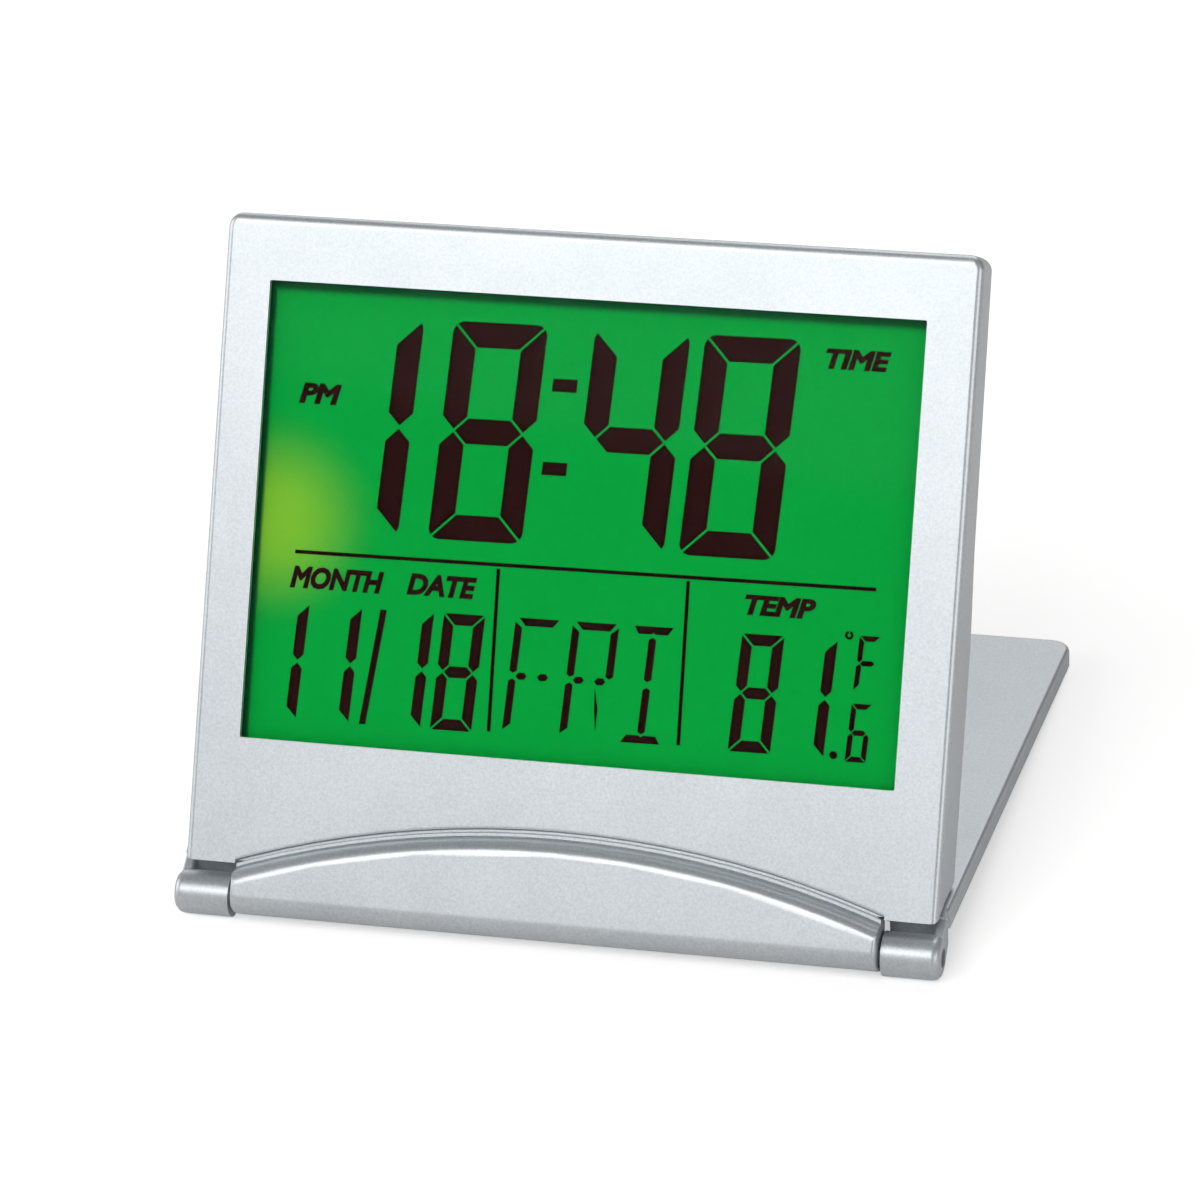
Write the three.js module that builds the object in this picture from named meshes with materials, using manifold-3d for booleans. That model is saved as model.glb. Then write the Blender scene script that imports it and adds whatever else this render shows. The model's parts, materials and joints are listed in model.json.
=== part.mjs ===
// Folding digital alarm clock: a display case that leans back on its own hinged cover.
// Sizes are millimetres. The case and the cover are each drawn in a frame of their own:
// X runs along the hinge, Y leads away from the hinge axis, Z leads out of the outer face.

import * as THREE from 'three';
import { mergeVertices } from 'three/addons/utils/BufferGeometryUtils.js';
import Module from 'manifold-3d';

const wasm = await Module();
wasm.setup();

// Case
const caseWidth = 85;
const caseTop = 75.4;            // hinge axis to the top edge
const caseFoot = 3.65;           // hinge axis to the front's lower edge
const frontFace = 1.5;           // front face, in front of the hinge axis
const lowerDepth = 8;            // thickness over the battery
const middleDepth = 6.4;         // thickness where the back's ramp ends
const topDepth = 5;
const rampFoot = 33;
const rampHead = 44;
const caseLean = 26.7;           // degrees back from upright
const frontWall = 1.4;
const sideWall = 1.2;
const backWall = 0.9;
const caseEdge = 0.8;            // rounding round the front face
const caseBackEdge = 0.3;
const caseRound = 1.2;           // corners seen from the side
const caseCorner = 1.7;          // upper corners seen from the front

// Fits
const seatGap = 0.2;             // between pieces that are fixed against each other
const slideGap = 0.15;           // round pieces that slide or turn in a hole
const closedGap = 0.3;           // closed cover to the case's front
const openGap = 0.35;            // case's foot to the open cover

// Cover, which is also the stand
const coverOverhang = 0.78;      // past each side of the case
const coverLength = 74.6;
const coverThickness = 2.3;
const coverCorner = 2.5;
const coverEdge = 0.6;
const coverStart = 3.6;          // hinge axis to the plate's inner end
const neckFoot = -20;            // degrees round the knuckle at which a neck's underside leaves it
const neckHead = 10;             // and its upper side
const neckGroove = [2.8, 0.4];   // groove behind the knuckle: the reach of its rear wall, and its floor
const neckHeel = 0.2;            // height at which a neck's underside turns up to the plate
const neckEdge = 0.1;
const armHead = 62;              // arm at each neck's outer end, which rises to the plate's face
const armWidth = 1.2;
const armInset = 0.12;
const armEdge = 0.3;
const footLand = 2;              // flat along the far edge, which stands on the table
const knuckleRadius = 2.46;
const knuckleLength = 6.45;
const knuckleRounding = 1;
const knuckleFlat = 0.06;        // depth of the flat under each knuckle
const knuckleSideGap = 0.45;

// Hinge barrel and the arched swelling above it
const barrelRadius = 2.05;
const barrelEdge = 0.3;
const archTop = 9.74;            // hinge axis to the arch at mid-width
const archEnd = 3.72;            // and at the barrel's ends
const archGap = 0.28;            // groove between the panel and the swelling
const archPocket = 0.5;          // how deep the swelling is set into the panel
const archRoll = [0.12, 0.42];   // how far the panel's edge rolls into the groove, in two steps
const archRollDepth = [0.3, 0.1];
const bulgeHeight = 2.4;         // above the front face
const bulgeEnd = 0.5;            // rounding of the swelling's ends
const rimWidth = 0.4;
const rimHeight = 0.3;
const rimCrease = 0.17;          // notch between the rim and the wall
const bulgeSlope = 0.6;          // run of the wall from the rim to the ridge
const ridgeRound = 1.7;
const creaseHeight = 0.4;        // where the swelling's face turns under

// Hinge pins
const pinRadius = 0.8;
const pinClearance = 0.1;
const pinLength = 11.5;
const pinRecess = 2.2;
const pinMouth = 0.15;           // how much wider the bore is over the recess

// Window and display stack
const displayShift = -0.17;      // window and cover sit this far to one side of the case's middle
const windowInset = 5.55;        // case side to the window
const windowLow = 17.57;
const windowDrop = 7.3;          // case top to the window
const windowLip = 0.6;
const lensThickness = 0.6;
const lensMargin = 1.2;
const filmThickness = 0.2;       // green front film, open where the dark figures show through it
const filmGap = 0.1;
const glassThickness = 1;
const glassLedge = 2.6;          // contact ledge under the window
const guideThickness = 1;
const carrierWall = 1.2;
const connectorWidth = 1.2;
const connectorInset = 3.85;     // ends of the contact strip, from the sides of the board under it
const ledLength = 2.8;
const ledDrop = 1;               // below the window's middle

// Circuit board and what it carries
const boardGap = 0.4;
const boardThickness = 0.8;
const boardInset = 6;            // case side to the board
const boardLow = 9.2;
const boardDrop = 0.2;           // ramp's head to the board's upper edge
const boardStripGap = 1;         // battery door's tabs to the strip above them
const domeRadius = 2;
const domeHeight = 0.3;
const chipRadius = 2.8;
const chipHeight = 0.6;
const chipInset = 9.5;           // from the board's right edge, as the next insets are
const chipY = 36.4;
const crystalRadius = 0.75;
const crystalLength = 5;
const crystalInset = 5.2;        // from the left edge of the board's lower part
const crystalY = 19;
const buzzerRadius = 4.9;
const buzzerHeight = 1.3;
const buzzerInset = 5.5;
const buzzerY = 23;
const soundHoleRadius = 0.5;
const soundHolePitch = 2;
const sensorRadius = 0.55;
const sensorLength = 3;
const sensorInset = 12.5;
const sensorY = 10.6;

// Battery, its contacts and its door
const cellRadius = 10;
const cellThickness = 2.5;
const cellInset = 18.5;          // case side to the cell's axis
const cellY = 21.4;
const doorThickness = 0.7;
const doorRadius = 10.9;
const doorRingWall = 0.5;
const doorRingDepth = 0.85;
const doorTab = 1.3;
const doorTabWidth = 4.2;
const doorTurn = 30;
const coinSlotLength = 9;
const coinSlotWidth = 1.3;
const coinSlotDepth = 0.35;
const contactThickness = 0.2;
const contactWidth = 3;
const contactOffset = 3;

// Buttons and the slide switch on the back
const buttonTravel = 0.5;
const buttonProud = 0.5;
const buttonFlange = 0.6;
const flangeThickness = 0.5;
const smallButtonRadius = 1.9;
const smallButtonY = 14.2;
const smallButtonPitch = 8;
const lightButtonLength = 12;
const lightButtonWidth = 4.4;
const lightButtonY = 24;
const switchTravel = 2;
const switchKnob = 1.8;
const switchBody = [7, 3.2];
const switchBodyHeight = 1.2;

// Screws
const screwShaft = 0.5;
const screwHead = 1.2;
const headThickness = 0.35;
const crossSpan = 1.5;           // cross recess in the head
const crossWidth = 0.36;
const crossDepth = 0.2;
const screwLength = 2.2;
const barrelScrewLength = 2.5;
const screwClearance = 0.15;
const bossRadius = 1.4;
const upperScrewInset = 12.5;    // from the case's sides
const upperScrewDrop = 2.9;      // from its top
const lowerScrewInset = 3.8;
const lowerScrewY = 11.6;
const boardScrewInset = 1.6;     // from the sides of the board's lower part
const barrelScrew = [7, 7.5];

// Figures on the display, drawn upright for a window of this size and then leaned.
// Places run across from the window's middle line and up from its lower edge.
const drawnWindow = [73.9, 50.53];
const figureLean = 3.8;
const glassSkew = 0.45;
const bigFigure = { width: 10.7, height: 24, stroke: 2.8, gap: 0.25, round: 1.3 };
const smallFigure = { width: 4.72, height: 12.83, stroke: 1.25, gap: 0.2, round: 0.35 };
const tinyFigure = { width: 2.33, height: 6.32, stroke: 0.61, gap: 0.1, round: 0.15 };
const unitLetter = { width: 2.35, height: 5.96, stroke: 0.59, gap: 0.1, round: 0.15 };
const timeBase = 23.48;
const hours = [['1', -31.52], ['8', -17.42]];
const minutes = [['4', -1.4], ['8', 10.95]];
const colon = { left: -5.46, width: 2.8, height: 1.44, levels: [31.21, 40.33] };
const lowerBase = 2.61;
const month = [['1', -36.02], ['1', -29.93]];
const dayOfMonth = [['1', -21.69], ['8', -15.85]];
const temperature = [['8', 17.78], ['1', 23.67]];
const tenths = ['6', 30.75];
const tenthsBase = 2.39;
const unit = ['F', 31.21];
const unitBase = 10.09;
const degreeSign = { place: [30.44, 16], outer: 0.48, inner: 0.19, strut: 0.1 };
const point = { place: [29.5, 2.99], radius: 0.45 };
const slash = { foot: -24, head: -22.3, low: 2.61, high: 15.33, width: 0.76 };
const ruleWidth = 0.42;
const rule = { left: -32.5, right: 33.1, height: 21.1 };
const dividers = [-9.14, 12.27];
const dividerLow = 2.83;

// Day of the week: posts and bars with pointed, mitred or notched ends
const dayBase = 2.73;
const dayHeight = 12.76;
const dayStroke = 0.86;
const dayGap = 0.3;              // half the gap at mid-height
const dayF = -7.67;
const dayR = -1.2;
const dayI = 7.94;               // middle of its post
const archedTop = { narrow: [1.2, 4.3], wide: [0.4, 4.95] };
const serif = { narrow: 1.65, wide: 2.2, gap: 1.2, notch: 0.22 };
const dayDash = { places: [1.41, 3.84], length: 1.3, height: 0.78 };
const rightPost = 4.4;
const leg = { foot: 4, knee: 3.56, head: 3.35, width: 0.42, low: 0.85, middle: 3.4, high: 5.65 };

// Places worked out from the sizes above
const degree = Math.PI / 180;
const outwards = 1;              // a cut runs this far past the surface that it opens
const curve = 32;
const coverInner = frontFace + closedGap;
const coverOuter = coverInner + coverThickness;
const hingeHeight = knuckleRadius - knuckleFlat;
const landReach = coverLength - footLand;
const coverTilt = Math.asin(hingeHeight / Math.hypot(landReach, coverInner))
  + Math.atan2(coverInner, landReach);
const openAngle = (90 - caseLean) * degree + coverTilt;
const halfCase = caseWidth / 2;
const halfCover = halfCase + coverOverhang;
const knuckleInner = halfCover - knuckleLength;
const halfBarrel = knuckleInner - knuckleSideGap;
const archRise = archTop - archEnd;
const archRadius = (archRise ** 2 + halfBarrel ** 2) / (2 * archRise);
const innerFront = frontFace - frontWall;
const lowerBack = frontFace - lowerDepth;
const cavityHalf = halfCase - sideWall;
const cavityTop = caseTop - sideWall;
const bulgeFace = frontFace + bulgeHeight;
const archCentre = archTop - archRadius;
const windowWidth = caseWidth - 2 * windowInset;
const windowHigh = caseTop - windowDrop;
const windowMiddle = (windowHigh + windowLow) / 2;
const lensBack = frontFace - windowLip - seatGap / 2 - lensThickness;
const filmFront = Math.min(lensBack, innerFront) - seatGap;
const glassFront = filmFront - filmThickness - filmGap;
const glassBack = glassFront - glassThickness;
const guideFront = glassBack - seatGap;
const guideBack = guideFront - guideThickness;
const glassHalf = windowWidth / 2 + lensMargin;
const glassLow = windowLow - glassLedge;
const glassHigh = windowHigh + lensMargin;
const carrierHalf = glassHalf + seatGap + carrierWall;
const carrierLow = glassLow - seatGap - carrierWall;
const carrierHigh = glassHigh + seatGap + carrierWall;
const guideLow = glassLow + connectorWidth + 2 * seatGap + seatGap;
const boardFront = guideBack - boardGap;
const boardBack = boardFront - boardThickness;
const boardRight = halfCase - boardInset;
const boardHigh = rampHead - boardDrop;
const chipPlace = [boardRight - chipInset, chipY];
const buzzerPlace = [boardRight - buzzerInset, buzzerY];
const sensorPlace = [boardRight - sensorInset, sensorY];
const cellPlace = [cellInset - halfCase, cellY];
const tongueLeft = cellPlace[0] + doorRadius + doorTab + 3 * seatGap;
const tongueMiddle = (tongueLeft + boardRight) / 2;
const crystalPlace = [tongueLeft + crystalInset, crystalY];
const lightButtonPlace = [tongueMiddle - smallButtonPitch, lightButtonY];
const lightButtonEnd = lightButtonPlace[0] + lightButtonLength / 2 + buttonFlange;
const switchPlace = [(lightButtonEnd + buzzerPlace[0] - buzzerRadius) / 2, lightButtonY];
const cellBack = lowerBack + doorThickness + seatGap;
const cellFront = cellBack + cellThickness;
const coverPlateFront = lowerBack + backWall;
const domeFront = boardBack - seatGap / 2;
const domeBack = domeFront - domeHeight;
const stemFront = domeBack - buttonTravel - slideGap;

// Solids made from three.js shapes
function toSolid(geometry) {
  const bare = geometry.clone();
  bare.deleteAttribute('normal');
  bare.deleteAttribute('uv');
  const merged = mergeVertices(bare, 1e-4);
  const corners = Array.from(merged.index.array);
  const triangles = corners.filter((_, place) => {
    const [a, b, c] = corners.slice(place - place % 3, place - place % 3 + 3);
    return a !== b && b !== c && c !== a;
  });
  return new wasm.Manifold(new wasm.Mesh({
    numProp: 3,
    vertProperties: new Float32Array(merged.attributes.position.array),
    triVerts: new Uint32Array(triangles),
  }));
}

function toGeometry(solid) {
  const { vertProperties, triVerts } = solid.getMesh();
  const geometry = new THREE.BufferGeometry();
  geometry.setAttribute('position', new THREE.BufferAttribute(vertProperties, 3));
  geometry.setIndex(new THREE.BufferAttribute(triVerts, 1));
  geometry.computeVertexNormals();
  return geometry;
}

function join(...solids) {
  return solids.reduce((whole, solid) => whole.add(solid));
}

function cut(solid, ...tools) {
  return tools.reduce((rest, tool) => rest.subtract(tool), solid);
}

function block([x0, x1], [y0, y1], [z0, z1]) {
  const box = new THREE.BoxGeometry(x1 - x0, y1 - y0, z1 - z0);
  return toSolid(box.translate((x0 + x1) / 2, (y0 + y1) / 2, (z0 + z1) / 2));
}

// A disc whose axis leads out of the outer face
function disc([x, y], radius, [z0, z1], sides = curve) {
  const drum = new THREE.CylinderGeometry(radius, radius, z1 - z0, sides);
  return toSolid(drum.rotateX(Math.PI / 2).translate(x, y, (z0 + z1) / 2));
}

// A rod whose axis runs along the hinge
function rod(radius, [x0, x1], [y, z] = [0, 0], sides = curve) {
  const drum = new THREE.CylinderGeometry(radius, radius, x1 - x0, sides);
  return toSolid(drum.rotateZ(Math.PI / 2).translate((x0 + x1) / 2, y, z));
}

// A plate cut from an outline drawn in X and Y
function plate(outline, [z0, z1], segments = 6) {
  const options = { depth: z1 - z0, bevelEnabled: false, curveSegments: segments };
  return toSolid(new THREE.ExtrudeGeometry(outline, options).translate(0, 0, z0));
}

// A plate whose faces are rounded into its sides
function pillow(outline, [z0, z1], edge, segments = 6) {
  const geometry = new THREE.ExtrudeGeometry(outline, {
    depth: z1 - z0 - 2 * edge, bevelEnabled: true, bevelThickness: edge, bevelSize: edge,
    bevelOffset: -edge, bevelSegments: 3, curveSegments: segments,
  });
  return toSolid(geometry.translate(0, 0, z0 + edge));
}

// A bar along the hinge whose outline is drawn in Y and Z, with its ends rounded by bevel
function bar(outline, [x0, x1], bevel = 0, segments = 8) {
  const options = {
    depth: x1 - x0 - 2 * bevel, bevelEnabled: bevel > 0, bevelThickness: bevel, bevelSize: bevel,
    bevelOffset: -bevel, bevelSegments: 3, curveSegments: segments,
  };
  const geometry = new THREE.ExtrudeGeometry(outline, options).translate(0, 0, x0 + bevel);
  const turn = new THREE.Matrix4().makeBasis(
    new THREE.Vector3(0, 1, 0), new THREE.Vector3(0, 0, 1), new THREE.Vector3(1, 0, 0));
  return toSolid(geometry.applyMatrix4(turn));
}

function outlineOf(points) {
  return new THREE.Shape(points.map(([a, b]) => new THREE.Vector2(a, b)));
}

function roundedBox([x, y], width, height, radius) {
  const [w, h] = [width / 2, height / 2];
  const shape = new THREE.Shape();
  shape.moveTo(x - w + radius, y - h);
  shape.lineTo(x + w - radius, y - h);
  shape.absarc(x + w - radius, y - h + radius, radius, -Math.PI / 2, 0);
  shape.lineTo(x + w, y + h - radius);
  shape.absarc(x + w - radius, y + h - radius, radius, 0, Math.PI / 2);
  shape.lineTo(x - w + radius, y + h);
  shape.absarc(x - w + radius, y + h - radius, radius, Math.PI / 2, Math.PI);
  shape.lineTo(x - w, y - h + radius);
  shape.absarc(x - w + radius, y - h + radius, radius, Math.PI, 1.5 * Math.PI);
  return shape;
}

// A drum that tapers from one radius to another along the same axis
function cone([x, y], [radiusLow, radiusHigh], [z0, z1], sides = curve) {
  const drum = new THREE.CylinderGeometry(radiusHigh, radiusLow, z1 - z0, sides);
  return toSolid(drum.rotateX(Math.PI / 2).translate(x, y, (z0 + z1) / 2));
}

function archDisc(radius, depths) {
  return disc([0, archCentre], radius, depths, 180);
}

// A round form about the arch's centre, from a profile of radii and depths
function archForm(profile) {
  const form = new THREE.LatheGeometry(profile.map(([r, z]) => new THREE.Vector2(r, z)), 180);
  return toSolid(form.rotateX(Math.PI / 2).translate(0, archCentre, 0));
}

function named(name, solid, colour, roughness, metalness = 0) {
  const material = new THREE.MeshStandardMaterial({ color: colour, roughness, metalness });
  const mesh = new THREE.Mesh(toGeometry(solid), material);
  mesh.name = name;
  return mesh;
}

// The case's outline, seen from its side
function onFoot(reach, height) {
  return [
    reach * Math.cos(openAngle) + height * Math.sin(openAngle),
    height * Math.cos(openAngle) - reach * Math.sin(openAngle),
  ];
}

// Height above the hinge axis of the case's foot at a depth, or of a line inside it
function footAt(inset, depth) {
  const height = coverOuter + openGap + inset;
  const reach = (height * Math.cos(openAngle) - depth) / Math.sin(openAngle);
  return onFoot(reach, height)[0];
}

function backAt(height) {
  const middleBack = frontFace - middleDepth;
  const stations = [[rampFoot, lowerBack], [rampHead, middleBack], [caseTop, frontFace - topDepth]];
  if (height <= rampFoot) return lowerBack;
  const next = height < rampHead ? 1 : 2;
  const [[y0, z0], [y1, z1]] = [stations[next - 1], stations[next]];
  return z0 + (z1 - z0) * (height - y0) / (y1 - y0);
}

function caseOutline() {
  const knee = onFoot(coverStart + closedGap, coverOuter + openGap);
  const shape = new THREE.Shape();
  shape.moveTo(caseFoot, frontFace);
  shape.lineTo(caseTop - caseRound, frontFace);
  shape.quadraticCurveTo(caseTop, frontFace, caseTop, frontFace - caseRound);
  shape.lineTo(caseTop, backAt(caseTop) + caseRound);
  shape.quadraticCurveTo(caseTop, backAt(caseTop), caseTop - caseRound, backAt(caseTop - caseRound));
  shape.lineTo(rampHead, backAt(rampHead));
  shape.lineTo(rampFoot, lowerBack);
  shape.lineTo(footAt(0, lowerBack), lowerBack);
  shape.lineTo(...knee);
  return shape;
}

function cavity() {
  const open = lowerBack - outwards;
  return bar(outlineOf([
    [footAt(sideWall, innerFront), innerFront], [cavityTop, innerFront],
    [cavityTop, open], [footAt(sideWall, open), open],
  ]), [-cavityHalf, cavityHalf]);
}

function boss([x, y], back) {
  return disc([x, y], bossRadius, [back, innerFront + frontWall / 2]);
}

function pilotHole([x, y], [z0, z1]) {
  return disc([x, y], screwShaft + screwClearance, [z0, z1], 16);
}

function screw(place, seat, length) {
  const [x, y] = place;
  const top = seat - headThickness;
  const recess = [[crossSpan, crossWidth], [crossWidth, crossSpan]].map(([wide, tall]) => (
    block([x - wide / 2, x + wide / 2], [y - tall / 2, y + tall / 2], [top - outwards, top + crossDepth])));
  const blank = join(disc(place, screwHead, [top, seat], 20),
    disc(place, screwShaft, [seat - headThickness / 2, seat + length], 12));
  return cut(blank, ...recess);
}

const upperScrew = [halfCase - upperScrewInset, caseTop - upperScrewDrop];
const lowerScrew = [halfCase - lowerScrewInset, lowerScrewY];
const caseScrewPlaces = [upperScrew, lowerScrew].flatMap(([x, y]) => [[-x, y], [x, y]]);
const boardScrews = [tongueLeft + boardScrewInset, boardRight - boardScrewInset]
  .map((x) => [x, lowerScrewY]);
const barrelScrewPlaces = [[-barrelScrew[0], barrelScrew[1]], barrelScrew];
const headSeat = headThickness + seatGap / 2;

// Pocket for the swelling: the panel's edge rolls into a groove round it
function swellingPocket() {
  const edge = archRadius + archGap;
  const [deep, shallow] = archRollDepth;
  const slope = (archRoll[1] - archRoll[0]) / shallow;
  const floor = frontFace - archPocket;
  const rim = frontFace + outwards;
  const form = archForm([
    [0, floor], [edge, floor], [edge, frontFace - deep], [edge + archRoll[0], frontFace - shallow],
    [edge + archRoll[1] + slope * outwards, rim], [0, rim],
  ]);
  const side = halfBarrel + archGap;
  return form.intersect(block([-side, side], [0, caseTop], [innerFront, rim + outwards]));
}

function frontShell() {
  const tall = roundedBox([0, (caseTop - windowLow) / 2], caseWidth, caseTop + windowLow, caseCorner);
  const body = bar(caseOutline(), [-halfCase, halfCase], caseBackEdge)
    .intersect(pillow(tall, [lowerBack - caseRound, frontFace], caseEdge, 8));
  const windowHeight = windowHigh - windowLow;
  const opening = roundedBox([displayShift, windowMiddle], windowWidth, windowHeight, seatGap);
  const pocket = roundedBox([displayShift, windowMiddle], windowWidth + 2 * (lensMargin + slideGap),
    windowHeight + 2 * (lensMargin + slideGap), seatGap);
  const bosses = caseScrewPlaces.map((place) => boss(place, backAt(place[1]) + backWall + seatGap));
  const boardBosses = boardScrews.map((place) => boss(place, boardFront + seatGap));
  const pilots = caseScrewPlaces.map((place) => {
    const end = backAt(place[1]) + backWall + seatGap;
    return pilotHole(place, [end - outwards, end + screwLength]);
  });
  const boardPilots = boardScrews.map((place) => (
    pilotHole(place, [boardFront - outwards, boardBack + screwLength + seatGap])));
  const barrelHoles = barrelScrewPlaces.map((place) => (
    pilotHole(place, [innerFront - outwards, frontFace + outwards])));
  const shell = cut(body, cavity(), swellingPocket(),
    plate(opening, [innerFront - outwards, frontFace + outwards], 3),
    plate(pocket, [innerFront - outwards, frontFace - windowLip], 3));
  return cut(join(shell, ...bosses, ...boardBosses), ...pilots, ...boardPilots, ...barrelHoles);
}

// The rim, crease, wall and rounded ridge that bound the swelling's arch
function swellingForm() {
  const rimTop = frontFace + rimHeight;
  const wallRun = bulgeSlope / (bulgeFace - rimTop);
  const creaseEnd = archRadius - rimWidth - rimCrease;
  const wallAt = (depth) => creaseEnd - wallRun * (depth - rimTop);
  const slant = Math.atan(wallRun);
  const ridgeDepth = bulgeFace - ridgeRound + rimCrease / 20;
  const ridgeStart = ridgeDepth + ridgeRound * Math.sin(slant);
  const ridgeMiddle = wallAt(ridgeStart) - ridgeRound * Math.cos(slant);
  const steps = 6;
  const ridge = Array.from({ length: steps + 1 }, (_, step) => {
    const angle = slant + (Math.PI / 2 - slant) * step / steps;
    return [ridgeMiddle + ridgeRound * Math.cos(angle), ridgeDepth + ridgeRound * Math.sin(angle)];
  });
  return archForm([
    [0, -2 * barrelRadius], [archRadius, -2 * barrelRadius], [archRadius, rimTop - rimCrease / 2],
    [archRadius - rimCrease / 2, rimTop], [archRadius - rimWidth, rimTop],
    [archRadius - rimWidth - rimCrease / 2, rimTop - rimCrease], [creaseEnd, rimTop],
    ...ridge, [0, ridge[steps][1]],
  ]);
}

// The hinge barrel carries the swelling that fills the cover's arched notch
function hingeBarrel() {
  const seat = frontFace - archPocket + seatGap;
  const knee = onFoot(coverStart + closedGap, coverOuter + openGap);
  const footSlope = (knee[0] - caseFoot) / (frontFace - knee[1]);
  const webBack = -barrelRadius / 5;
  const footGap = seatGap * Math.hypot(1, footSlope);
  const webAngle = 54 * degree;
  const root = barrelRadius * 0.95;
  const shape = new THREE.Shape();
  shape.moveTo(-root, barrelRadius / 5);
  shape.quadraticCurveTo(-barrelRadius, bulgeFace, creaseHeight, bulgeFace);
  shape.lineTo(archTop + outwards, bulgeFace);
  shape.lineTo(archTop + outwards, seat);
  shape.lineTo(caseFoot - footGap + footSlope * (frontFace - seat), seat);
  shape.lineTo(caseFoot - footGap + footSlope * (frontFace - webBack), webBack);
  shape.lineTo(root * Math.cos(webAngle), -root * Math.sin(webAngle));
  const bulge = bar(shape, [-halfBarrel, halfBarrel], bulgeEnd).intersect(swellingForm());
  const boreEnd = halfCover - pinRecess - pinLength - seatGap;
  const bore = pinRadius + pinClearance;
  const bores = [[-halfBarrel - outwards, -boreEnd], [boreEnd, halfBarrel + outwards]]
    .map((span) => rod(bore, span, [0, 0], 24));
  const threads = barrelScrewPlaces.map((place) => (
    pilotHole(place, [seat - outwards, innerFront + barrelScrewLength + seatGap])));
  const circle = new THREE.Shape().absarc(0, 0, barrelRadius, 0, 2 * Math.PI);
  const barrel = bar(circle, [-halfBarrel, halfBarrel], barrelEdge, 20);
  return cut(join(barrel, bulge), ...bores, ...threads);
}

// Window and display, from the front to the back
function displayWindow() {
  return block([-glassHalf, glassHalf], [windowLow - lensMargin, windowHigh + lensMargin],
    [lensBack, lensBack + lensThickness]);
}

function lcdGlass() {
  return block([-glassHalf, glassHalf], [glassLow, glassHigh], [glassBack, glassFront]);
}

function lightGuide() {
  return block([-glassHalf, glassHalf], [guideLow, glassHigh], [guideBack, guideFront]);
}

const ledSpan = [-ledLength / 2, ledLength / 2].map((end) => windowMiddle - ledDrop + end);
const ledFace = glassHalf + seatGap;
const ledDepth = carrierWall - 2 * seatGap;

function backlightLed() {
  return block([-ledFace - ledDepth, -ledFace], ledSpan, [guideBack + seatGap / 2, guideFront - seatGap / 2]);
}

function displayCarrier() {
  const frame = block([-carrierHalf, carrierHalf], [carrierLow, carrierHigh],
    [guideBack, innerFront - seatGap]);
  const well = block([-ledFace, ledFace], [glassLow - seatGap, glassHigh + seatGap],
    [guideBack - outwards, innerFront]);
  const ledPocket = block([-ledFace - ledDepth - slideGap, -ledFace + outwards],
    [ledSpan[0] - slideGap, ledSpan[1] + slideGap], [guideBack - outwards, guideFront + seatGap]);
  return cut(frame, well, ledPocket);
}

function contactStrip() {
  const foot = glassLow + seatGap;
  return block([tongueLeft + connectorInset, boardRight - connectorInset],
    [foot, foot + connectorWidth], [boardFront + seatGap, glassBack - seatGap]);
}

// A shape cut through the film: leaned, fitted to the window and turned with the glass
function inked(shape, [left, low] = [0, 0], lean = figureLean) {
  const options = { depth: 3 * filmThickness, bevelEnabled: false, curveSegments: 6 };
  const geometry = new THREE.ExtrudeGeometry(shape, options);
  geometry.applyMatrix4(new THREE.Matrix4().makeShear(0, 0, Math.tan(lean * degree), 0, 0, 0));
  geometry.translate(left, low, filmFront - 2 * filmThickness);
  geometry.scale(windowWidth / drawnWindow[0], (windowHigh - windowLow) / drawnWindow[1], 1);
  geometry.translate(0, windowLow - windowMiddle, 0).rotateZ(glassSkew * degree);
  return toSolid(geometry.translate(0, windowMiddle, 0));
}

// Seven mitred bars, drawn from the figure's lower left corner
function figureBars({ width, height, stroke, gap }) {
  const half = stroke / 2;
  const mitre = gap * 0.7;
  const middle = height / 2;
  const inner = stroke + mitre;
  const upper = [[0, height - mitre], [0, middle + half + mitre], [half, middle + mitre],
    [stroke, middle + half + mitre], [stroke, height - inner]];
  const across = ([x, y]) => [width - x, y];
  const down = ([x, y]) => [x, height - y];
  const top = [[mitre, height], [inner, height - stroke], [width - inner, height - stroke],
    [width - mitre, height]];
  return {
    top,
    bottom: top.map(down).reverse(),
    middle: [[half + mitre, middle], [inner, middle - half], [width - inner, middle - half],
      [width - half - mitre, middle], [width - inner, middle + half], [inner, middle + half]],
    upperLeft: upper,
    lowerLeft: upper.map(down).reverse(),
    upperRight: upper.map(across).reverse(),
    lowerRight: upper.map(across).map(down),
  };
}

const figureParts = {
  1: ['upperRight', 'lowerRight'],
  4: ['upperLeft', 'middle', 'upperRight', 'lowerRight'],
  6: ['top', 'upperLeft', 'middle', 'lowerLeft', 'bottom', 'lowerRight'],
  8: ['top', 'upperLeft', 'upperRight', 'middle', 'lowerLeft', 'lowerRight', 'bottom'],
  F: ['top', 'upperLeft', 'middle', 'lowerLeft'],
};

function figure([sign, left], size, low) {
  const bars = figureBars(size);
  const { width, height, round } = size;
  const strokes = figureParts[sign].map((name) => inked(outlineOf(bars[name]), [left, low]));
  const corners = roundedBox([width / 2, height / 2], width, height, round);
  return join(...strokes).intersect(inked(corners, [left, low]));
}

function dash([left, low], width, height) {
  return outlineOf([[left, low], [left + width, low], [left + width, low + height], [left, low + height]]);
}

// A post's end across its stroke, and how far each point is drawn in
const postEnds = {
  point: [[0, 0.3], [0.5, 0], [1, 0.3]],
  left: [[0, 0], [1, 0.8]],
  right: [[0, 0.8], [1, 0]],
};

function post(left, [low, high], [foot, head]) {
  const rise = postEnds[foot].map(([x, y]) => [left + x * dayStroke, low + y * dayStroke]);
  const fall = postEnds[head].map(([x, y]) => [left + x * dayStroke, high - y * dayStroke]);
  return outlineOf([...rise, ...fall.reverse()]);
}

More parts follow.
